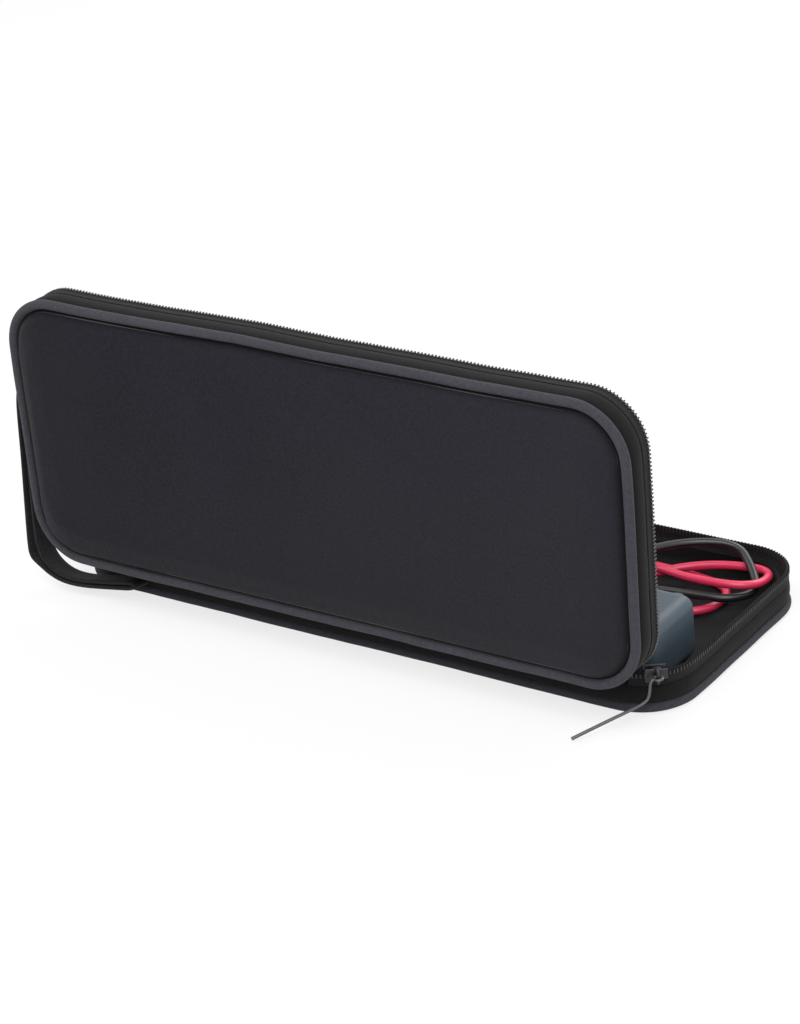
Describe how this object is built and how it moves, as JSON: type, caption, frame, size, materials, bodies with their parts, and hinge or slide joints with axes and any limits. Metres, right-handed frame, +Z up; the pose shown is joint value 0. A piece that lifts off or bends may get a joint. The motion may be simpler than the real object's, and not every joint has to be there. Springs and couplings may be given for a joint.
{
  "type": "tone probe kit",
  "caption": "Soft zipped carrying case standing open, holding a tone generator with red and black test leads and an amplifier probe",
  "frame": {"origin": "centre of the underside of the case's base, where it rests on the table", "axes": "+X along the spine towards the zip slider's end, +Y from the spine to the zipped long side, +Z up"},
  "size_m": [0.2936, 0.1412, 0.1324],
  "materials": {
    "case_cloth": "tightly woven black nylon over thin foam",
    "gusset_cloth": "plain black nylon side strip",
    "edge_piping": "black cloth-covered piping cord",
    "lining_cloth": "smooth black lining",
    "zip_tape": "woven zip tape",
    "zip_coil": "black moulded nylon coil",
    "board": "plain stiffener sheet",
    "webbing": "black flat webbing",
    "dark_metal": "dark enamelled zinc",
    "blue_grey_plastic": "dark blue-grey moulded plastic, fine texture",
    "black_plastic": "black moulded plastic",
    "button_rubber": "red rubber button",
    "lamp_red": "clear red lens",
    "steel": "plated steel",
    "circuit_board": "green circuit board",
    "battery_case": "plain wrapped battery case",
    "red_rubber": "soft red insulation",
    "black_rubber": "soft black insulation"
  },
  "bodies": {
    "base": {"base_panel": "case_cloth", "base_stiffener_board": "board", "base_piping": "edge_piping", "base_side_wall": "gusset_cloth", "base_lining": "lining_cloth", "base_zip_tape": "zip_tape", "base_zip_chain": "zip_coil", "base_spine_flap": "gusset_cloth", "spine_fold": "gusset_cloth", "wrist_strap": "webbing"},
    "lid": {"lid_panel": "case_cloth", "lid_stiffener_board": "board", "lid_piping": "edge_piping", "lid_side_wall": "gusset_cloth", "lid_lining": "lining_cloth", "lid_zip_tape": "zip_tape", "lid_zip_chain": "zip_coil", "lid_spine_flap": "gusset_cloth"},
    "slider": {"zip_slider": "dark_metal"},
    "pull": {"zip_pull": "dark_metal"},
    "toner": {"toner_back_shell": "blue_grey_plastic", "toner_front_shell": "blue_grey_plastic", "toner_battery_door": "blue_grey_plastic", "toner_lamps": "lamp_red", "toner_line_jack": "black_plastic", "toner_screws": "steel", "toner_circuit_board": "circuit_board", "toner_battery": "battery_case", "toner_battery_snap": "black_plastic", "red_strain_relief": "red_rubber", "black_strain_relief": "black_rubber", "red_lead": "red_rubber", "black_lead": "black_rubber", "red_clip_lower_jaw": "steel", "red_clip_pin": "steel", "red_clip_sleeve": "red_rubber", "black_clip_lower_jaw": "steel", "black_clip_pin": "steel", "black_clip_sleeve": "black_rubber"},
    "toner_switch": {"toner_switch_knob": "black_plastic"},
    "red_clip": {"red_clip_upper_jaw": "steel"},
    "black_clip": {"black_clip_upper_jaw": "steel"},
    "probe": {"probe_bottom_shell": "blue_grey_plastic", "probe_top_shell": "blue_grey_plastic", "probe_tip": "black_plastic", "probe_lamp": "lamp_red", "probe_speaker": "black_plastic", "probe_circuit_board": "circuit_board", "probe_battery_door": "blue_grey_plastic", "probe_screws": "steel", "probe_battery": "battery_case", "probe_battery_snap": "black_plastic"},
    "probe_button": {"probe_button": "button_rubber"},
    "volume_wheel": {"probe_volume_wheel": "black_plastic"}
  },
  "joints": [
    {"name": "lid_hinge", "type": "hinge", "parent": "base", "child": "lid", "pos_m": [0, -0.0574, 0.018], "axis": [1, 0, 0], "range_deg": [-90, 30], "deforming": ["wrist_strap"]},
    {"name": "zip_slider_travel", "type": "hinge", "parent": "base", "child": "slider", "pos_m": [0.1175, -0.0345, 0.018], "axis": [0, 0, 1], "range_deg": [0, 34]},
    {"name": "zip_pull_swing", "type": "hinge", "parent": "slider", "child": "pull", "pos_m": [0.13483, -0.05375, 0.0166], "axis": [0, 0, 1], "range_deg": [-20, 140]},
    {"name": "toner_lift", "type": "slide", "parent": "base", "child": "toner", "axis": [0, 0, 1], "range_m": [0, 0.05]},
    {"name": "toner_switch_slide", "type": "slide", "parent": "toner", "child": "toner_switch", "axis": [1, 0, 0], "range_m": [-0.003, 0.003]},
    {"name": "red_clip_open", "type": "hinge", "parent": "toner", "child": "red_clip", "pos_m": [-0.01, 0.042, 0.01], "axis": [0, 1, 0], "range_deg": [0, 20], "stiffness_Nm_per_rad": 0.02, "springref_deg": -28.65},
    {"name": "black_clip_open", "type": "hinge", "parent": "toner", "child": "black_clip", "pos_m": [-0.01, -0.002, 0.01], "axis": [0, 1, 0], "range_deg": [0, 20], "stiffness_Nm_per_rad": 0.02, "springref_deg": -28.65},
    {"name": "probe_lift", "type": "slide", "parent": "base", "child": "probe", "axis": [0, 0, 1], "range_m": [0, 0.05]},
    {"name": "probe_button_press", "type": "slide", "parent": "probe", "child": "probe_button", "axis": [0, 0, -1], "range_m": [0, 0.0012], "stiffness_N_per_m": 600, "springref_m": -0.0008},
    {"name": "probe_volume_turn", "type": "hinge", "parent": "probe", "child": "volume_wheel", "pos_m": [0.019, -0.0182, 0.0201], "axis": [0, 0, 1], "range_deg": [0, 270]}
  ]
}
